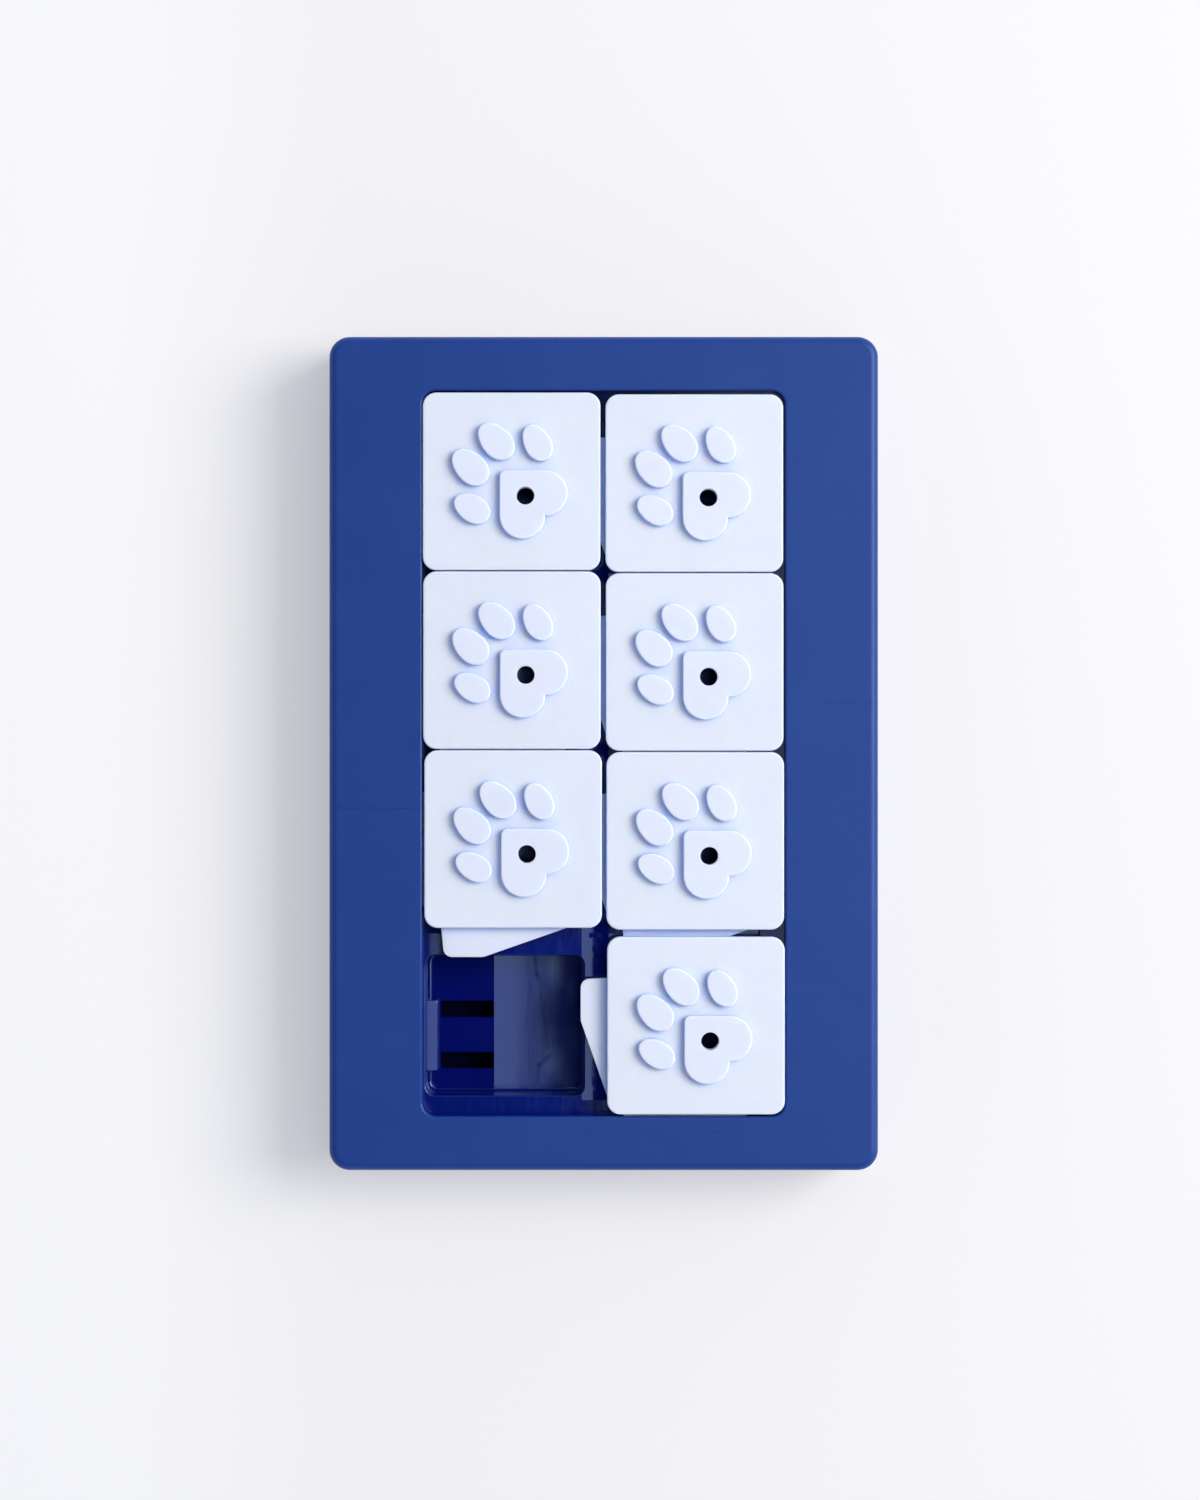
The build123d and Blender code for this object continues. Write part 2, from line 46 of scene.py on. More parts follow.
# ------------------------------------------------------------------ table, camera and light
# The toy lies on a white painted table, under a camera that looks straight down. A broad soft
# window stands to the right, a fainter panel hangs beside the camera, and the room gets dark
# towards its ceiling.
MM = 0.001                       # sizes are in millimetres, unless their names say metres
RIM_TOP = 32.0
CAMERA_PLACE = (-1.23, 1.17)
CAMERA_METRES = 1.0              # height above the rim
VIEW_METRES = 0.4                # width that the camera takes in, at the rim's level
SENSOR_WIDTH = 36.0
TABLE_METRES = 40.0
# painted shade: the table's part under the tray is painted nearly black, where the tray's shade
# falls
UNDER_TRAY = (88.0, 135.0)       # half sides of the table's part that lies under the tray
PAINTED_SHADE_UNDER_TRAY = (0.002, 0.003, 0.02)   # of that part
# painted light and shade: the table is painted lighter on its left than on its right, standing
# in for how the light falls across it
PAINTED_LIGHT_LEFT = (0.965, 0.95, 0.94)
PAINTED_SHADE_RIGHT = (0.855, 0.84, 0.83)
PAINT_CHANGE = (-170.0, -90.0)   # from the left paint to the right one, from X to X
WHITE_SHARE = 0.42               # of the table's look that is plain white light
ROOM_LIGHT = (0.72, 0.87, 1.25)
CEILING_LIGHT = 0.01             # as a share of the walls' light
ROOM_CHANGE = (0.15, 0.85)       # from the walls to the ceiling, as the rise of a direction

camera_data = bpy.data.cameras.new("camera")
camera_data.sensor_fit = "HORIZONTAL"
camera_data.sensor_width = SENSOR_WIDTH
camera_data.lens = SENSOR_WIDTH * CAMERA_METRES / VIEW_METRES
camera_data.clip_start = 0.01
camera = bpy.data.objects.new("camera", camera_data)
camera.location = (CAMERA_PLACE[0] * MM, CAMERA_PLACE[1] * MM, RIM_TOP * MM + CAMERA_METRES)
scene.collection.objects.link(camera)
scene.camera = camera


def live(sockets):
    """The sockets that a node's options leave in use."""
    return [socket for socket in sockets if socket.enabled]


def feed(socket, value):
    """Give an input a plain value, a plain colour or another node's output."""
    if isinstance(value, bpy.types.NodeSocket):
        socket.id_data.links.new(value, socket)
    elif socket.type == "RGBA":
        socket.default_value = (*value, 1)
    else:
        socket.default_value = value


def node_maker(tree):
    """A helper that adds a node to a tree, sets its options and feeds its inputs.

    Inputs are given in their order, or by name, as in in_Base_Color=colour.
    """

    def add(kind, *inputs, **values):
        node = tree.nodes.new(kind)
        for key, value in values.items():
            if not key.startswith("in_"):
                setattr(node, key, value)
        for socket, value in zip(live(node.inputs), inputs):
            feed(socket, value)
        for key, value in values.items():
            if key.startswith("in_"):
                name = key[3:].replace("_", " ")
                feed([socket for socket in live(node.inputs) if socket.name == name][0], value)
        return node

    return add


def new_material(name, **finish):
    """A material, its shader with a finish's plain values, places on the piece, a node maker."""
    material = bpy.data.materials.new(name)
    material.use_nodes = True
    shader = material.node_tree.nodes["Principled BSDF"]
    for key, value in finish.items():
        feed(shader.inputs[key.replace("_", " ")], value)
    add = node_maker(material.node_tree)
    return material, shader, add("ShaderNodeTexCoord").outputs["Object"], add


def calculate(add, operation, *values):
    """Result of a sum on numbers, plain ones or other nodes' outputs."""
    return add("ShaderNodeMath", *values, operation=operation).outputs[0]


def calculate_place(add, operation, *values):
    """Result of a sum on places, plain ones or other nodes' outputs."""
    return live(add("ShaderNodeVectorMath", *values, operation=operation).outputs)[0]


def from_middle(add, place):
    """Distances of a place from the toy's middle along X, Y and Z."""
    return add("ShaderNodeSeparateXYZ", calculate_place(add, "ABSOLUTE", place)).outputs


def overlap(add, *masks):
    """Mask of where all the masks meet."""
    result = masks[0]
    for mask in masks[1:]:
        result = calculate(add, "MULTIPLY", result, mask)
    return result


def slope(add, distance, low, high):
    """Even rise from 0 at a low distance to 1 at a high one."""
    rise = add("ShaderNodeMapRange", distance, in_From_Min=low * MM, in_From_Max=high * MM)
    return rise.outputs[0]


def mix_colours(add, share, first, second):
    """Mix of two colours, each a plain one or another node's output."""
    mix = add("ShaderNodeMix", share, first, second, data_type="RGBA")
    return live(mix.outputs)[0]


table_paint, shader, place, add = new_material(
    "white_table", Roughness=0.9, Specular_IOR_Level=0.0
)
distance = from_middle(add, place)
# painted shade under the tray, and painted light and shade across the rest, lighter to the left
beside = calculate(add, "GREATER_THAN", distance["X"], UNDER_TRAY[0] * MM)
past_ends = calculate(add, "GREATER_THAN", distance["Y"], UNDER_TRAY[1] * MM)
clear = calculate(add, "MAXIMUM", beside, past_ends)
axes = add("ShaderNodeSeparateXYZ", place).outputs
paint = mix_colours(add, slope(add, axes["X"], *PAINT_CHANGE), PAINTED_LIGHT_LEFT, PAINTED_SHADE_RIGHT)
feed(shader.inputs["Base Color"], mix_colours(add, clear, PAINTED_SHADE_UNDER_TRAY, paint))
# part of the table's look is plain white, seen straight and in reflections, but not under the
# tray, which keeps its painted shade
rays = add("ShaderNodeLightPath").outputs
straight = calculate(add, "MAXIMUM", rays["Is Camera Ray"], rays["Is Glossy Ray"])
share = calculate(add, "MULTIPLY", overlap(add, straight, clear), WHITE_SHARE)
glow = add("ShaderNodeEmission", in_Color=(1, 1, 1), in_Strength=1.0)
blend = add("ShaderNodeMixShader", share, shader.outputs[0], glow.outputs[0])
feed(table_paint.node_tree.nodes["Material Output"].inputs["Surface"], blend.outputs[0])

table_mesh = bpy.data.meshes.new("table")
half = TABLE_METRES / 2
table_mesh.from_pydata(
    [(-half, -half, 0), (half, -half, 0), (half, half, 0), (-half, half, 0)], [], [(0, 1, 2, 3)]
)
table_mesh.materials.append(table_paint)
table = bpy.data.objects.new("table", table_mesh)
scene.collection.objects.link(table)

room = bpy.data.worlds.new("room")
scene.world = room
room.use_nodes = True
room.node_tree.nodes.clear()
add = node_maker(room.node_tree)
direction = add("ShaderNodeTexCoord").outputs["Generated"]
shade = add(
    "ShaderNodeMapRange",
    add("ShaderNodeSeparateXYZ", direction).outputs["Z"],
    in_From_Min=ROOM_CHANGE[0],
    in_From_Max=ROOM_CHANGE[1],
    in_To_Min=1.0,
    in_To_Max=CEILING_LIGHT,
)
walls = add("ShaderNodeBackground", in_Color=ROOM_LIGHT, in_Strength=shade.outputs[0])
white = add("ShaderNodeBackground", in_Color=(1, 1, 1))
seen = add("ShaderNodeLightPath").outputs["Is Camera Ray"]
choice = add("ShaderNodeMixShader", seen, walls.outputs[0], white.outputs[0])
add("ShaderNodeOutputWorld", in_Surface=choice.outputs[0])


def panel(name, place, target, width, height, radiance, colour):
    """A rectangular soft light at a place, facing a target, as bright as a radiance. Metres."""
    data = bpy.data.lights.new(name, "AREA")
    data.color = colour
    data.shape = "RECTANGLE"
    data.size = width
    data.size_y = height
    data.energy = radiance * math.pi * width * height
    lamp = bpy.data.objects.new(name, data)
    lamp.location = place
    aim = Vector(target) - Vector(place)
    lamp.rotation_euler = aim.to_track_quat("-Z", "Y").to_euler()
    scene.collection.objects.link(lamp)


panel(
    "window",
    place=(2.0, 0.56, 1.92),
    target=(0, 0, 0),
    width=1.6,
    height=1.6,
    radiance=9.1,
    colour=(1.04, 1.0, 0.93),
)
panel(
    "overhead_panel",
    place=(0.54, 0.2, 1.6),
    target=(0.54, 0.2, 0),
    width=0.96,
    height=1.6,
    radiance=1.45,
    colour=(1.0, 1.0, 1.04),
)

# ------------------------------------------------------------------ tray frame
# One injection moulding in navy plastic with a satin face, which fits over the base. The melt's
# flows met part way along the two long sides and left weld lines there. The rim has a few fine
# scratches, and its outer edge is rubbed in patches.
PITCH = 60.5                     # from square to square
OPENING = (PITCH, 2 * PITCH)     # half sides of the opening the tiles show in
POLISH = 0.8                     # width of the polished edge round the opening
POLISH_FADE = 0.2
POLISH_TOP = (RIM_TOP - 0.06, RIM_TOP - 0.02)  # levels where it ends under the rim's face
LOW_TOP = (29.0, 29.2)           # levels where the opening's tongues and bars end
WELD_LINES = (((-91.5, -18.2), (-61.0, -18.4)), ((74.0, 16.6), (91.5, 16.9)))
WELD_WIDTH = 0.5
SCRATCHES = (((32.8, -126.3), (39.8, -126.6)), ((43.6, -123.9), (44.6, -123.7)))
SCRATCH_WIDTH = 0.35
RUBBED_X = (90.2, 91.6)          # where the rubbed edge starts and is at its full
RUBBED_Y = (137.8, 139.2)
RUBBED_Z = (28.0, 30.5)
SATIN_NAVY = ((0.0102, 0.041, 0.217), (0.0122, 0.05, 0.248))   # from shade to shade
TRACE_NAVY = (0.002, 0.016, 0.12)     # of the weld lines and scratches
RUBBED_NAVY = (0.06, 0.12, 0.36)
# painted shade: the tongues and bars low in the opening are painted darker than the rim
PAINTED_SHADE_NAVY = (0.0004, 0.003, 0.045)     # of the tongues and bars


def total(add, terms):
    """Sum of masks, each times its weight."""
    result = 0.0
    for source, weight in terms:
        result = calculate(add, "MULTIPLY_ADD", source, weight, result)
    return result


def mottling(add, place, size, detail=2.0, stretch=(1, 1, 1)):
    """Uneven tone from 0 to 1 whose patches are about a size wide, stretched by axis."""
    spread = calculate_place(add, "MULTIPLY", place, [1 / (size * MM * s) for s in stretch])
    noise = add("ShaderNodeTexNoise", in_Vector=spread, in_Scale=1.0, in_Detail=detail)
    return noise.outputs[0]


def ramp(add, source, low, high, to_low=0.0, to_high=1.0):
    """Smooth step of a value from one range to another."""
    step = add(
        "ShaderNodeMapRange",
        source,
        interpolation_type="SMOOTHSTEP",
        in_From_Min=low,
        in_From_Max=high,
        in_To_Min=to_low,
        in_To_Max=to_high,
    )
    return step.outputs[0]


def beyond(add, distance, low, high):
    """Mask: 0 up to a low distance, 1 from a high one."""
    return ramp(add, distance, low * MM, high * MM)


def within(add, distance, low, high):
    """Mask: 1 up to a low distance, 0 from a high one."""
    return ramp(add, distance, low * MM, high * MM, to_low=1, to_high=0)


def stripe(add, place, start, end, width):
    """Mask round a straight line in plan: 1 on the line, 0 from a width away."""
    start = Vector((*start, 0)) * MM
    run = Vector((*end, 0)) * MM - start
    flat = calculate_place(add, "MULTIPLY", place, (1, 1, 0))
    reach = calculate_place(add, "SUBTRACT", flat, start)
    along = calculate_place(add, "DOT_PRODUCT", reach, run / run.length_squared)
    part = add("ShaderNodeClamp", along).outputs[0]
    foot = calculate_place(add, "SCALE", run, part)
    return within(add, calculate_place(add, "DISTANCE", reach, foot), 0.0, width)


def roughen(add, shader, level, terms):
    """Roughness: a plain level, changed by masks that each have a weight."""
    feed(shader.inputs["Roughness"], calculate(add, "ADD", total(add, terms), level))


def emboss(add, shader, height, depth=1.0, strength=1.0):
    """Fine relief, which stands up by a depth where the height is 1."""
    bump = add("ShaderNodeBump", in_Height=height, in_Strength=strength, in_Distance=depth * MM)
    feed(shader.inputs["Normal"], bump.outputs[0])


def dress(name, material):
    """Give a carried-over node one material."""
    nodes[name].data.materials.clear()
    nodes[name].data.materials.append(material)


frame_plastic, shader, place, add = new_material(
    "navy_satin_plastic", Specular_IOR_Level=0.48, Specular_Tint=(0.5, 0.68, 1.0)
)
cloud = mottling(add, place, size=30, detail=3)
colour = mix_colours(add, cloud, *SATIN_NAVY)
# weld lines and scratches, broken up along their length
welds = [(stripe(add, place, *ends, WELD_WIDTH), 1.0) for ends in WELD_LINES]
scratches = [(stripe(add, place, *ends, SCRATCH_WIDTH), 1.0) for ends in SCRATCHES]
broken = ramp(add, mottling(add, place, size=1.2), low=0.35, high=0.6)
traces = overlap(add, total(add, welds + scratches), broken)
colour = mix_colours(add, total(add, [(traces, 0.35)]), colour, TRACE_NAVY)
# rubbed outer edge of the rim
distance = from_middle(add, place)
sides = beyond(add, distance["X"], *RUBBED_X)
ends = beyond(add, distance["Y"], *RUBBED_Y)
upper = beyond(add, distance["Z"], *RUBBED_Z)
patches = ramp(add, mottling(add, place, size=3.5, detail=4), low=0.5, high=0.68)
rub = overlap(add, calculate(add, "MAXIMUM", sides, ends), upper, patches)
colour = mix_colours(add, total(add, [(rub, 0.3)]), colour, RUBBED_NAVY)
# polished edge round the opening, and painted shade on the tongues and bars that stand in it
# lower down
inside_x = within(add, distance["X"], OPENING[0] + POLISH, OPENING[0] + POLISH + POLISH_FADE)
inside_y = within(add, distance["Y"], OPENING[1] + POLISH, OPENING[1] + POLISH + POLISH_FADE)
inside = overlap(add, inside_x, inside_y, within(add, distance["Z"], *POLISH_TOP))
dark = overlap(add, inside, within(add, distance["Z"], *LOW_TOP))
feed(shader.inputs["Base Color"], mix_colours(add, dark, colour, PAINTED_SHADE_NAVY))
haze = mottling(add, place, size=6, detail=4)
grain = mottling(add, place, size=0.22)
gloss_changes = [(haze, 0.12), (grain, 0.06), (rub, 0.12), (inside, -0.36), (dark, 0.06)]
roughen(add, shader, level=0.34, terms=gloss_changes)
emboss(add, shader, total(add, [(grain, 0.004), (traces, -0.03), (cloud, 0.12)]))
dress("tray_frame", frame_plastic)

# ------------------------------------------------------------------ tray base
# The moulding with the eight wells, in the same navy but glossy, screwed up into the frame.
# Its floors carry the fine lines of the mould's cutter, and each scooped floor has sunk a
# little where it is thickest. Places in a well are from the middle of its own square.
WALL_FOOT = (10.0, 11.0)         # levels where the floors end and the walls start
CREASE = (-7.1, -6.3)            # from X to X, where the scooped floor starts
SAG_RUN = (5.0, 23.0)            # from X to X, deeper and deeper
SAG_DEPTH = 0.46
SAG_POWER = 1.6
SAG_MIDDLE = ((24.0, 1.0), (12.0, 1.0))       # line along which it sags less
SAG_MIDDLE_WIDTH = 12.0
SAG_MIDDLE_EASE = 0.45           # share of the sag that is missing there
SINKS = ((17.0, 17.2, 7.5, 0.07), (17.0, -15.0, 8.0, 0.08))    # x, y, radius and depth
HOLE_SWELLING = (7.6, -4.9, 7.0)              # x, y and radius, under a tile's scent hole
HOLE_SWELLING_HEIGHT = 0.2
SEAM = 1.0                       # half width of the change from one square's floor to the next's
SMUDGES = (
    ((6.9, 22.0), (7.4, 15.5)),
    ((7.4, 15.5), (9.4, 12.2)),
    ((11.6, -12.4), (8.2, -15.6)),
    ((8.2, -15.6), (7.6, -22.0)),
)
SMUDGE_WIDTH = 1.4
CURL_X = (-30.0, -23.0)          # over the crossbar's left end, from X to X
CURL_Y = (18.0, 22.0)            # towards the crossbar above the well, from Y to Y
SET_OFF = 0.5                    # of the walls' feet from the floors
EDGE_BANDS = ((9.65, 10.45), (22.95, 23.56))  # levels of the wells' rounded feet and tops
EDGE_START_FADE = 0.05
EDGE_END_FADE = 0.03
# painted shade: the wells' flat floors are painted darker than the rails; painted sheen: the
# scooped floors are painted a lighter blue
RAIL_NAVY = ((0.0004, 0.006, 0.137), (0.0008, 0.0105, 0.178))
PAINTED_SHADE_FLOOR_NAVY = ((0.0003, 0.0022, 0.112), (0.0006, 0.005, 0.152))
PAINTED_SHEEN_SCOOP_NAVY = (0.001, 0.01, 0.168)


def spot(add, place, x, y, radius):
    """Mask round a point in plan: 1 in its middle, 0 from a radius away."""
    return stripe(add, place, (x, y), (x, y + 0.1), radius)


base_plastic, shader, place, add = new_material(
    "navy_gloss_plastic", Specular_IOR_Level=1.0, Specular_Tint=(0.46, 0.64, 1.0)
)
axes = add("ShaderNodeSeparateXYZ", place).outputs
half = PITCH / 2 * MM
shifted = calculate_place(add, "ADD", place, (half, half, 0))
square = calculate_place(add, "WRAP", shifted, (half, half, 1), (-half, -half, -1))
square_axes = add("ShaderNodeSeparateXYZ", square).outputs
on_floor = within(add, axes["Z"], *WALL_FOOT)
walls = calculate(add, "SUBTRACT", 1.0, on_floor)
scoop = overlap(add, on_floor, beyond(add, square_axes["X"], *CREASE))
cloud = mottling(add, place, size=22, detail=3)
# painted shade on the flat floors, painted sheen on the scoops
rail_colour = mix_colours(add, cloud, *RAIL_NAVY)
shaded_floor_colour = mix_colours(add, cloud, *PAINTED_SHADE_FLOOR_NAVY)
colour = mix_colours(add, on_floor, rail_colour, shaded_floor_colour)
feed(shader.inputs["Base Color"], mix_colours(add, scoop, colour, PAINTED_SHEEN_SCOOP_NAVY))
# each scooped floor sags towards its right end, less in the middle of its width
run = calculate(add, "POWER", slope(add, square_axes["X"], *SAG_RUN), SAG_POWER)
middle = stripe(add, square, *SAG_MIDDLE, SAG_MIDDLE_WIDTH)
eased = calculate(add, "ADD", total(add, [(middle, -SAG_MIDDLE_EASE)]), 1.0)
dents = [(overlap(add, run, eased), -SAG_DEPTH)]
for x, y, radius, depth in SINKS:
    dents.append((spot(add, square, x, y, radius), -depth))
# under the tiles' scent holes the floors slope less in the left column, more in the right one
swelling = spot(add, square, *HOLE_SWELLING)
left = within(add, axes["X"], -SEAM, SEAM)
right = beyond(add, axes["X"], -SEAM, SEAM)
covered = beyond(add, axes["Y"], -PITCH - SEAM, -PITCH + SEAM)
dents.append((overlap(add, swelling, overlap(add, left, covered)), HOLE_SWELLING_HEIGHT))
dents.append((overlap(add, swelling, right), -HOLE_SWELLING_HEIGHT))
sunk = overlap(add, total(add, dents), scoop)
# the walls and rails are a little wavy, and the crossbars curl up at their left ends
by_crossbar = beyond(add, square_axes["Y"], *CURL_Y)
curl = overlap(add, within(add, square_axes["X"], *CURL_X), by_crossbar)
waves = total(add, [(mottling(add, place, size=4.5), 0.05), (curl, 0.34)])
wavy = overlap(add, walls, calculate(add, "ADD", waves, SET_OFF))
cutter = mottling(add, place, size=0.35, detail=3, stretch=(1, 26, 1))
sweep = mottling(add, place, size=5, detail=3, stretch=(1, 3, 1))
emboss(add, shader, total(add, [(sunk, 1.0), (wavy, 1.0), (cutter, 0.0035), (sweep, 0.03)]))
# dull smudges on the scoops, streaks on the walls, and glossier rounded edges
smudges = [(stripe(add, square, *ends, SMUDGE_WIDTH), 1.0) for ends in SMUDGES]
smudged = overlap(add, total(add, smudges), scoop)
streaks = mottling(add, place, size=1.3, detail=3, stretch=(1, 9, 9))
streaked = overlap(add, ramp(add, streaks, low=0.35, high=0.65, to_low=1, to_high=0), walls)
haze = mottling(add, place, size=4, detail=4)
gloss_changes = [(haze, 0.06), (cutter, 0.03), (scoop, 0.03), (smudged, 0.4), (streaked, 0.05)]
for low, high in EDGE_BANDS:
    above = beyond(add, axes["Z"], low - EDGE_START_FADE, low + EDGE_START_FADE)
    below = within(add, axes["Z"], high - EDGE_END_FADE, high + EDGE_END_FADE)
    gloss_changes.append((overlap(add, above, below), -0.06))
roughen(add, shader, level=0.07, terms=gloss_changes)
dress("tray_base", base_plastic)

# ------------------------------------------------------------------ tray screws
# Eight zinc-plated self-tapping screws with domed heads and a cross recess. They are driven
# up through the deck into the rim's bosses.
ROWS = tuple((row - 1.5) * PITCH for row in range(4))
SCREW_X = 81.1
SCREW_HEAD_FACE = 21.4           # level of the heads' outer faces
ZINC = ((0.56, 0.57, 0.6), (0.68, 0.68, 0.67))
TRAY_SCREW = {
    "Head Radius": 3.1,
    "Head Height": 2.0,
    "Head Edge": 0.7,            # radius of its rounded edge
    "Countersunk": 0.0,          # 1 makes the head a cone
    "Shank Radius": 1.5,
    "Length": 8.75,              # with the head and the point
    "Point": 1.0,
    "Thread Depth": 0.3,
    "Thread Pitch": 1.1,
    "Recess Span": 3.6,
    "Recess Width": 0.9,
    "Recess Depth": 1.2,
}
RECESS_TAPER = 0.45              # width at the recess's bottom, as a share of its mouth
RECESS_START = -0.02             # just outside the head's face
TIP_RADIUS = 0.25
CREASED_FROM = math.radians(35)  # edges sharper than this stay crisp

zinc, shader, place, add = new_material("zinc_plate", Metallic=1.0)
patches = mottling(add, place, size=1.5, detail=4)
feed(shader.inputs["Base Color"], mix_colours(add, patches, *ZINC))
scratches = mottling(add, place, size=0.15, detail=3, stretch=(1, 5, 1))
roughen(add, shader, level=0.18, terms=[(patches, 0.15), (scratches, 0.15)])
emboss(add, shader, scratches, depth=0.01, strength=0.5)


def in_metres(name, value):
    """A screw's size in metres, apart from the one that is a plain share."""
    return value if name == "Countersunk" else value * MM


screw_tree = bpy.data.node_groups.new("screw", "GeometryNodeTree")
screw_inputs = screw_tree.interface
screw_inputs.new_socket("Places", in_out="INPUT", socket_type="NodeSocketGeometry")
for name, value in TRAY_SCREW.items():
    socket = screw_inputs.new_socket(name, in_out="INPUT", socket_type="NodeSocketFloat")
    socket.default_value = in_metres(name, value)
screw_inputs.new_socket("Material", in_out="INPUT", socket_type="NodeSocketMaterial")
screw_inputs.new_socket("Screws", in_out="OUTPUT", socket_type="NodeSocketGeometry")
add = node_maker(screw_tree)
given = add("NodeGroupInput").outputs


def upright(low, high, count):
    """Points up the screw's axis, from one level to another."""
    start = add("ShaderNodeCombineXYZ", in_Z=low)
    end = add("ShaderNodeCombineXYZ", in_Z=high)
    line = add("GeometryNodeCurvePrimitiveLine", start.outputs[0], end.outputs[0])
    return add("GeometryNodeResampleCurve", line.outputs[0], in_Count=count).outputs[0]


def turned(points, radius, facets):
    """The solid of revolution whose radius at each of the points is given."""
    ring = add("GeometryNodeCurvePrimitiveCircle", in_Resolution=facets, in_Radius=1.0)
    solid = add(
        "GeometryNodeCurveToMesh",
        in_Curve=points,
        in_Profile_Curve=ring.outputs[0],
        in_Scale=radius,
        in_Fill_Caps=True,
    )
    return solid.outputs[0]


position = add("GeometryNodeInputPosition").outputs[0]
level = add("ShaderNodeSeparateXYZ", position).outputs["Z"]

# head: its edge follows a quarter circle, or it is a cone where it is countersunk
climb = calculate(add, "MINIMUM", calculate(add, "DIVIDE", level, given["Head Edge"]), 1.0)
tuck = calculate(add, "SUBTRACT", 1.0, climb)
fall = calculate(add, "SUBTRACT", 1.0, calculate(add, "MULTIPLY", tuck, tuck))
short = calculate(add, "SUBTRACT", 1.0, calculate(add, "SQRT", fall))
drawn_in = calculate(add, "MULTIPLY", given["Head Edge"], short)
domed = calculate(add, "SUBTRACT", given["Head Radius"], drawn_in)
cone = calculate(add, "SUBTRACT", given["Head Radius"], level)
to_cone = calculate(add, "SUBTRACT", cone, domed)
change = calculate(add, "MULTIPLY", given["Countersunk"], to_cone)
head_radius = calculate(add, "ADD", domed, change)
head = turned(upright(0.0, given["Head Height"], count=14), head_radius, facets=32)

# cross recess: two tapered blades cut into the head
corner = calculate(add, "MULTIPLY", given["Recess Span"], math.sqrt(0.5))
blade = add(
    "GeometryNodeMeshCone",
    in_Vertices=4,
    in_Radius_Bottom=corner,
    in_Radius_Top=calculate(add, "MULTIPLY", corner, RECESS_TAPER),
    in_Depth=given["Recess Depth"],
)
level_blade = add(
    "GeometryNodeTransform",
    blade.outputs["Mesh"],
    in_Translation=(0, 0, RECESS_START * MM),
    in_Rotation=(0, 0, math.pi / 4),
)
slimness = calculate(add, "DIVIDE", given["Recess Width"], given["Recess Span"])
slim = add("ShaderNodeCombineXYZ", 1.0, slimness, 1.0)
cut_head = add("GeometryNodeMeshBoolean", operation="DIFFERENCE", solver="EXACT", in_Mesh_1=head)
for turn in (0.0, math.pi / 2):
    slim_blade = add(
        "GeometryNodeTransform",
        level_blade.outputs[0],
        in_Scale=slim.outputs[0],
        in_Rotation=(0, 0, turn),
    )
    feed(cut_head.inputs["Mesh 2"], slim_blade.outputs[0])

# shank with its point, and the thread wound round it
core = calculate(add, "SUBTRACT", given["Shank Radius"], given["Thread Depth"])
left = calculate(add, "SUBTRACT", given["Length"], level)
narrowed = calculate(add, "DIVIDE", calculate(add, "MULTIPLY", left, core), given["Point"])
tip = calculate(add, "ADD", narrowed, TIP_RADIUS * MM)
shank_points = upright(given["Head Height"], given["Length"], count=28)
shank = turned(shank_points, calculate(add, "MINIMUM", core, tip), facets=20)
below_head = calculate(add, "SUBTRACT", given["Length"], given["Head Height"])
run = calculate(add, "SUBTRACT", below_head, given["Point"])
spiral = add(
    "GeometryNodeCurveSpiral",
    in_Resolution=20,
    in_Rotations=calculate(add, "DIVIDE", run, given["Thread Pitch"]),
    in_Start_Radius=core,
    in_End_Radius=core,
    in_Height=run,
)
ridge = add("GeometryNodeCurvePrimitiveCircle", in_Resolution=4, in_Radius=given["Thread Depth"])
thread = add(
    "GeometryNodeCurveToMesh",
    in_Curve=spiral.outputs[0],
    in_Profile_Curve=ridge.outputs[0],
    in_Fill_Caps=True,
)
rise = add("ShaderNodeCombineXYZ", in_Z=given["Head Height"])
wound = add("GeometryNodeTransform", thread.outputs[0], in_Translation=rise.outputs[0])
joined = add("GeometryNodeJoinGeometry")
for part in (cut_head.outputs[0], shank, wound.outputs[0]):
    feed(joined.inputs[0], part)

# smooth faces with crisp creases, then a copy at each place, turned by chance
angle = add("GeometryNodeInputMeshEdgeAngle").outputs[0]
sharp = add(
    "FunctionNodeCompare", angle, CREASED_FROM, data_type="FLOAT", operation="GREATER_THAN"
)
smooth = add("GeometryNodeSetShadeSmooth", joined.outputs[0])
creased = add(
    "GeometryNodeSetShadeSmooth",
    smooth.outputs[0],
    domain="EDGE",
    in_Selection=sharp.outputs[0],
    in_Shade_Smooth=False,
)
spin = add("FunctionNodeRandomValue", data_type="FLOAT", in_Min=0.0, in_Max=math.pi, in_Seed=7)
turns = add("ShaderNodeCombineXYZ", in_Z=live(spin.outputs)[0])
placed = add(
    "GeometryNodeInstanceOnPoints",
    in_Points=given["Places"],
    in_Instance=creased.outputs[0],
    in_Rotation=turns.outputs[0],
)
real = add("GeometryNodeRealizeInstances", placed.outputs[0])
done = add("GeometryNodeSetMaterial", real.outputs[0], in_Material=given["Material"])
add("NodeGroupOutput", in_Screws=done.outputs[0])


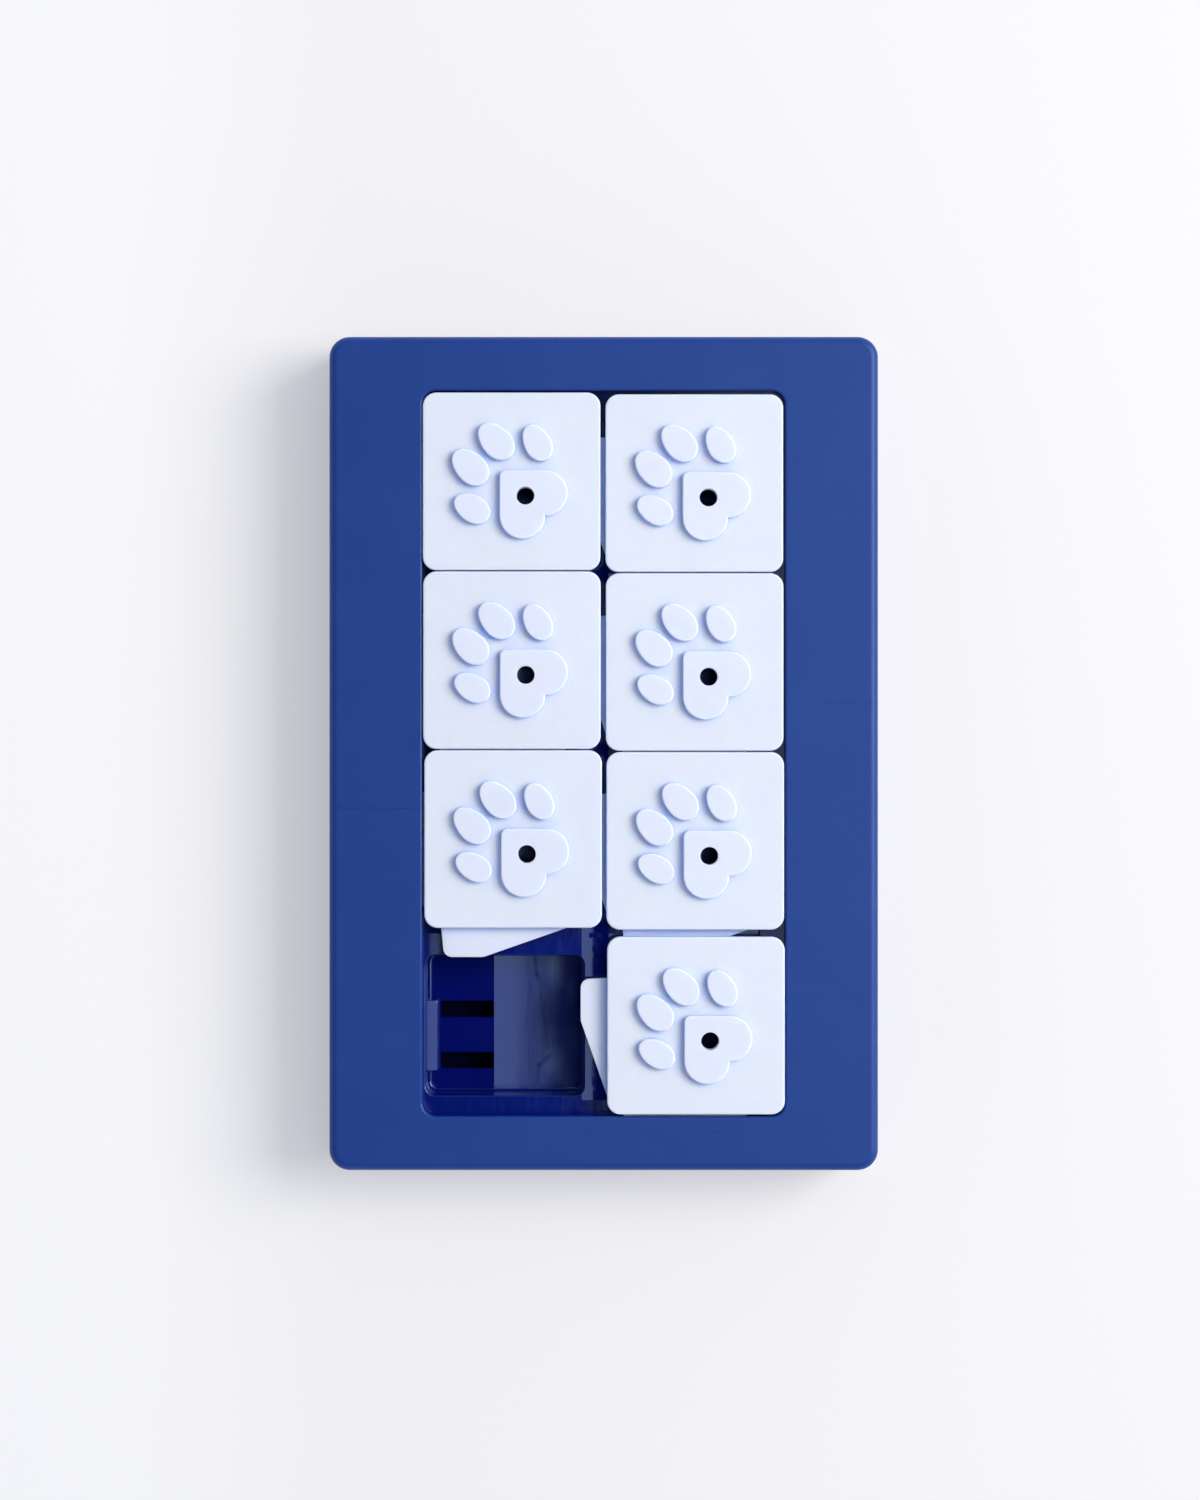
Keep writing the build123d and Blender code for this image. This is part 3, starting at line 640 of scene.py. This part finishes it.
def grow_screws(name, places, body, replaced, sizes):
    """Screws at their places, as one plain mesh that rides on a body."""
    mesh = bpy.data.meshes.new(name + "_places")
    mesh.from_pydata([[c * MM for c in point] for point in places], [], [])
    piece = bpy.data.objects.new(name, mesh)
    scene.collection.objects.link(piece)
    modifier = piece.modifiers.new("screws", "NODES")
    modifier.node_group = screw_tree
    for item in screw_inputs.items_tree:
        if item.in_out == "INPUT" and item.name in sizes:
            modifier[item.identifier] = in_metres(item.name, float(sizes[item.name]))
        elif item.in_out == "INPUT" and item.name == "Material":
            modifier[item.identifier] = zinc
    graph = bpy.context.evaluated_depsgraph_get()
    result = bpy.data.meshes.new_from_object(piece.evaluated_get(graph))
    piece.modifiers.remove(modifier)
    result.name = name
    # the tree's own shapes bring an empty material slot, which stands before the zinc's
    while result.materials and result.materials[0] is None:
        result.materials.pop(index=0)
    piece.data = result
    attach(piece, body)
    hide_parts(replaced)


grow_screws(
    "deck_screws",
    [(side * SCREW_X, y, SCREW_HEAD_FACE) for side in (-1, 1) for y in ROWS],
    "tray",
    "tray_screws",
    TRAY_SCREW,
)

# ------------------------------------------------------------------ rubber feet
# Four black rubber feet, each moulded in one piece: a disc with grip rings underneath, and a
# stem that is pressed into the base's post.
FOOT_X = 77.6
FOOT_Y = 125.15
FOOT_STEPS = 64
FOOT_BOTTOM = 0.5                # in the dimple in the middle
FOOT_TOP = 7.0
GROOVES = (2.9, 4.9)             # radii of the two grooves between the grip rings
GROOVE = ((-0.5, 0.0), (-0.3, 0.1), (-0.15, 0.4), (0.15, 0.4), (0.3, 0.1), (0.5, 0.0))
FOOT_OUTLINE = (                 # radius and height, from the dimple out and up to the stem
    (0.8, FOOT_BOTTOM), (1.1, 0.1), (1.3, 0.0),
    *((radius + across, height) for radius in GROOVES for across, height in GROOVE),
    (6.9, 0.0), (7.3, 0.08), (7.6, 0.22), (7.85, 0.5), (7.96, 0.9),
    (8.0, 1.3), (8.0, 2.75), (7.93, 2.93), (7.75, 3.0),
    (4.2, 3.0), (4.03, 3.05), (4.0, 3.2), (4.0, 6.5), (3.85, 6.85), (3.5, FOOT_TOP),
)
BLACK = (0.021, 0.021, 0.023)
DUSTY_BLACK = (0.06, 0.058, 0.055)

rubber, shader, place, add = new_material("black_rubber", Specular_IOR_Level=0.4)
dust = ramp(add, mottling(add, place, size=0.9, detail=5), low=0.52, high=0.75)
feed(shader.inputs["Base Color"], mix_colours(add, dust, BLACK, DUSTY_BLACK))
pores = mottling(add, place, size=0.3, detail=3)
roughen(add, shader, level=0.55, terms=[(pores, 0.15), (dust, 0.15)])
emboss(add, shader, pores, depth=0.03, strength=0.6)


def turned_foot(name, x, y):
    """A foot's closed mesh: its outline turned about an upright axis, with both ends filled."""
    points = []
    for radius, height in FOOT_OUTLINE:
        for step in range(FOOT_STEPS):
            angle = 2 * math.pi * step / FOOT_STEPS
            across = radius * math.cos(angle)
            along = radius * math.sin(angle)
            points.append(((x + across) * MM, (y + along) * MM, height * MM))
    last = len(points) - FOOT_STEPS
    bottom = len(points)
    top = bottom + 1
    points += [(x * MM, y * MM, FOOT_BOTTOM * MM), (x * MM, y * MM, FOOT_TOP * MM)]
    faces = []
    for step in range(FOOT_STEPS):
        after = (step + 1) % FOOT_STEPS
        faces.append((bottom, after, step))
        for low in range(0, last, FOOT_STEPS):
            high = low + FOOT_STEPS
            faces.append((low + step, low + after, high + after, high + step))
        faces.append((top, last + step, last + after))
    mesh = bpy.data.meshes.new(name)
    mesh.from_pydata(points, [], faces)
    mesh.shade_smooth()
    mesh.materials.append(rubber)
    return mesh


for end, side_y in (("front", -1), ("rear", 1)):
    for side, side_x in (("left", -1), ("right", 1)):
        mesh = turned_foot(f"foot_{end}_{side}", side_x * FOOT_X, side_y * FOOT_Y)
        foot = bpy.data.objects.new(f"rubber_foot_{end}_{side}", mesh)
        scene.collection.objects.link(foot)
        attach(foot, "tray")
        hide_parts(f"foot_{end}_{side}")

# ------------------------------------------------------------------ tiles
# Seven sliding tiles in pale blue-white plastic. Each is a cap with a raised paw print over a
# tongue plate and a glide plate, all moulded with a fine satin face.
TILES = ("a1", "a2", "a3", "b1", "b2", "b3", "b4")
CAP_WHITE = ((0.775, 0.81, 0.895), (0.795, 0.83, 0.92))
PLATE_WHITE = ((0.755, 0.795, 0.9), (0.78, 0.815, 0.925))
SPECK_GREY = (0.45, 0.5, 0.6)
# painted shade: the tiles' corners and gaps are painted this blue
PAINTED_SHADE_BLUE = (0.49, 0.615, 0.92)
PAINTED_SHADE_REACH = 4.5                 # how far from a corner its blue starts


def pale_plastic(name, shades, roughness):
    """Pale plastic between two shades, painted bluer in its corners and gaps as painted shade.
    """
    material, shader, place, add = new_material(
        name,
        Specular_Tint=(0.85, 0.92, 1.0),
        Specular_IOR_Level=0.35,
        Subsurface_Weight=0.8,
        Subsurface_Radius=(0.5, 0.65, 1.0),
        Subsurface_Scale=1.8 * MM,
    )
    batch = mottling(add, place, size=55, detail=1)
    cloud = mottling(add, place, size=12, detail=3)
    shade = ramp(add, total(add, [(batch, 0.5), (cloud, 0.5)]), low=0.3, high=0.7)
    colour = mix_colours(add, shade, *shades)
    specks = ramp(add, mottling(add, place, size=0.7), low=0.74, high=0.8)
    colour = mix_colours(add, total(add, [(specks, 0.25)]), colour, SPECK_GREY)
    # painted shade: its corners and gaps are painted bluer, the more closed in they are
    open_sky = add("ShaderNodeAmbientOcclusion", samples=6, in_Distance=PAINTED_SHADE_REACH * MM)
    painted_shade_share = ramp(add, open_sky.outputs["AO"], low=0.2, high=0.98, to_low=1, to_high=0)
    feed(shader.inputs["Base Color"], mix_colours(add, painted_shade_share, colour, PAINTED_SHADE_BLUE))
    scuffs = mottling(add, place, size=2.5, detail=5, stretch=(1, 3, 1))
    scuffed = ramp(add, scuffs, low=0.55, high=0.75)
    grain = mottling(add, place, size=0.18)
    roughen(add, shader, level=roughness, terms=[(scuffed, 0.1), (grain, 0.08)])
    emboss(add, shader, total(add, [(grain, 0.003), (cloud, 0.05)]))
    return material


cap_plastic = pale_plastic("pale_cap_plastic", CAP_WHITE, roughness=0.6)
plate_plastic = pale_plastic("pale_plate_plastic", PLATE_WHITE, roughness=0.68)
for tile in TILES:
    dress(f"tile_{tile}_cap", cap_plastic)
    dress(f"tile_{tile}_tongue_plate", plate_plastic)
    dress(f"tile_{tile}_glide_plate", plate_plastic)

# ------------------------------------------------------------------ tile screws
# Four zinc-plated countersunk screws hold each tile together, driven from below through both
# plates into the cap's bosses.
TILE_SCREW = {
    "Head Radius": 2.5,
    "Head Height": 1.25,
    "Countersunk": 1.0,
    "Shank Radius": 1.25,
    "Thread Depth": 0.25,
    "Thread Pitch": 0.9,
    "Recess Span": 2.6,
    "Recess Width": 0.7,
    "Recess Depth": 0.9,
}

for tile in TILES:
    low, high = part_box(f"tile_{tile}_screws")
    inset = TILE_SCREW["Head Radius"] * MM
    corners = [
        (x / MM, y / MM, low[2] / MM)
        for x in (low[0] + inset, high[0] - inset)
        for y in (low[1] + inset, high[1] - inset)
    ]
    length = (high[2] - low[2]) / MM
    grow_screws(
        f"tile_{tile}_countersunk_screws",
        corners,
        f"tile_{tile}",
        f"tile_{tile}_screws",
        {**TILE_SCREW, "Length": length},
    )
